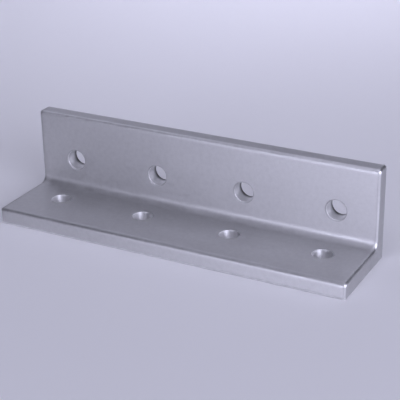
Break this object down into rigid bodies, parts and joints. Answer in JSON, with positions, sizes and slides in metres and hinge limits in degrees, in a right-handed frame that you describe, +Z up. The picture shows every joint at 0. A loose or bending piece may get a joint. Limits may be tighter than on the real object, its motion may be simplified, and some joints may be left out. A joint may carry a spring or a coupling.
{
  "type": "angle bracket",
  "caption": "Equal-leg aluminium angle bracket with a centred row of plain bolt holes in each leg, for joining framing beams at a right angle.",
  "frame": {"origin": "on the floor under the middle of the outer box: midway along the length and midway between the front edge of the base leg and the back of the wall leg", "axes": "+X along the bracket and its rows of holes, +Y from the front edge to the back face of the wall leg, +Z up; the inside of the angle faces -Y and +Z"},
  "size_m": [0.155, 0.04, 0.04],
  "materials": {
    "anodised_aluminium": "satin clear anodised, finely bead blasted"
  },
  "bodies": {
    "root": {"angle_bracket": "anodised_aluminium"}
  },
  "joints": []
}
